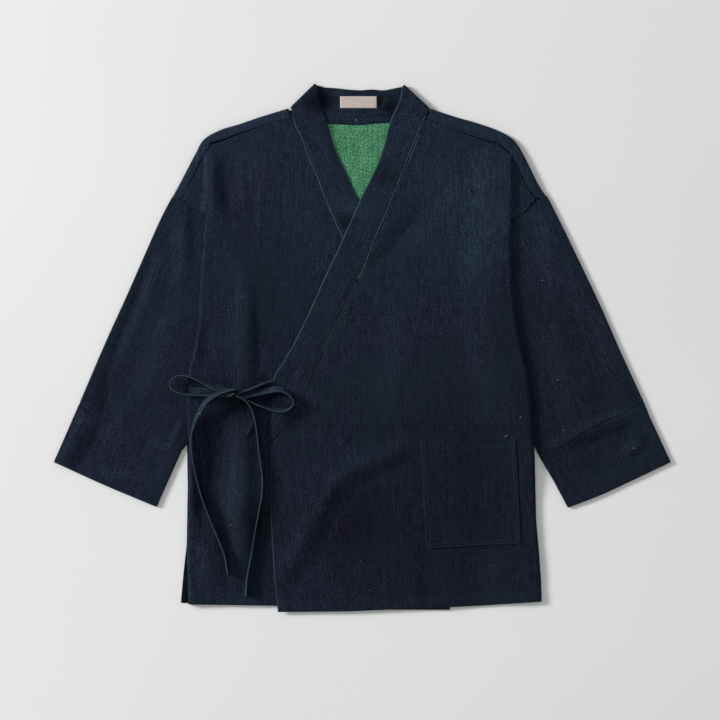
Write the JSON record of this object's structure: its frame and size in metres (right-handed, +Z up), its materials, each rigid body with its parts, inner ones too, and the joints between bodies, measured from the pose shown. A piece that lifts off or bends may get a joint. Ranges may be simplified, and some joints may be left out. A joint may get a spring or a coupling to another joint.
{
  "type": "kimono jacket",
  "caption": "Wrap-front kimono jacket in dark indigo cloth, laid flat with its side ties in a bow, one patch pocket and deep cuffs.",
  "frame": {"origin": "on the floor, below the middle of the outline of the jacket as it lies", "axes": "+X from the wearer's right sleeve to the left sleeve, +Y from the hem to the collar, +Z up from the floor through the fronts"},
  "size_m": [0.8938, 0.7658, 0.0317],
  "materials": {
    "indigo_cloth": "dark indigo twill, matt, with a green wrong side",
    "indigo_tape": "narrow folded tie of the same cloth",
    "beige_label": "plain woven label",
    "dark_tab": "plain woven tab"
  },
  "bodies": {
    "root": {"back": "indigo_cloth", "right_front": "indigo_cloth", "left_front": "indigo_cloth", "right_sleeve": "indigo_cloth", "left_sleeve": "indigo_cloth", "right_cuff": "indigo_cloth", "left_cuff": "indigo_cloth", "collar": "indigo_cloth", "pocket": "indigo_cloth", "tie_front": "indigo_tape", "tie_side": "indigo_tape", "bow_loop_right": "indigo_tape", "bow_loop_left": "indigo_tape", "bow_knot": "indigo_tape", "tail_right": "indigo_tape", "tail_left": "indigo_tape", "neck_label": "beige_label", "size_tab": "dark_tab"}
  },
  "joints": []
}
